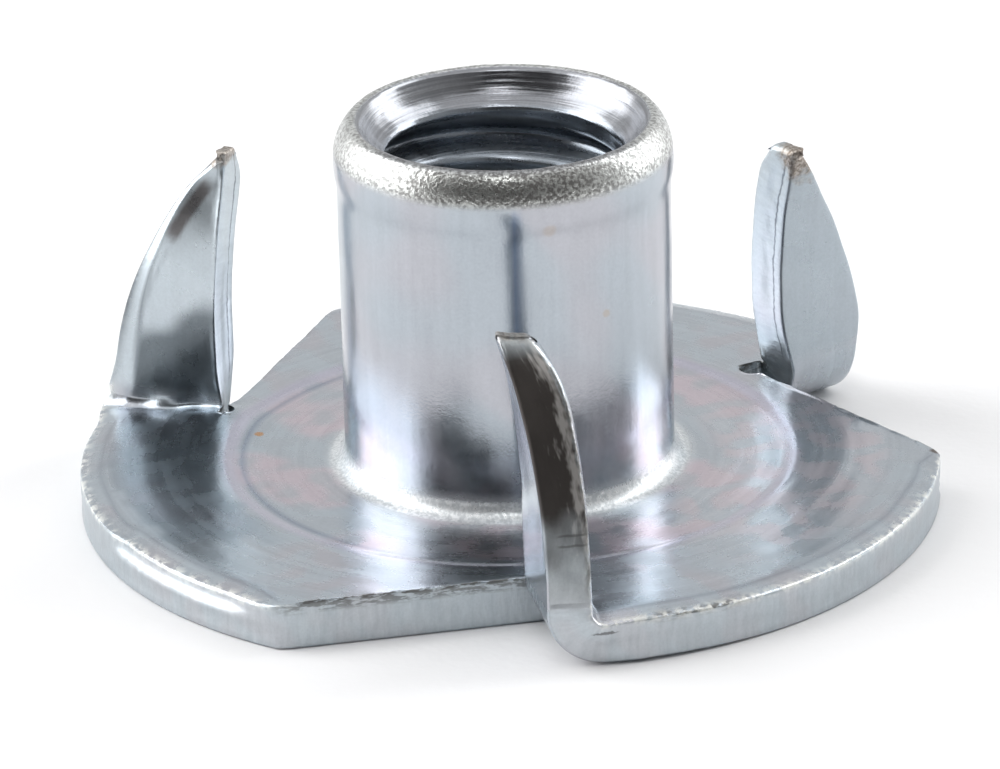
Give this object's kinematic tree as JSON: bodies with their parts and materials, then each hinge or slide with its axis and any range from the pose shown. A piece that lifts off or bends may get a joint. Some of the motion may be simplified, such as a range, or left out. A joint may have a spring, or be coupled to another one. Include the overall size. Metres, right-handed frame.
{
  "type": "tee nut",
  "caption": "Pronged tee nut for wood: a threaded barrel drawn up from a round flange, with prongs bent up beside it.",
  "frame": {"origin": "on the barrel's axis, at the flange's underside", "axes": "+Z along the barrel's axis, from the flange towards the barrel's mouth and the prongs' tips"},
  "size_m": [0.019, 0.0191, 0.0089],
  "materials": {
    "zinc_plate": "bright zinc plate, clear blue passivated, with a faint iridescent tint"
  },
  "bodies": {
    "root": {"tee_nut": "zinc_plate"}
  },
  "joints": []
}
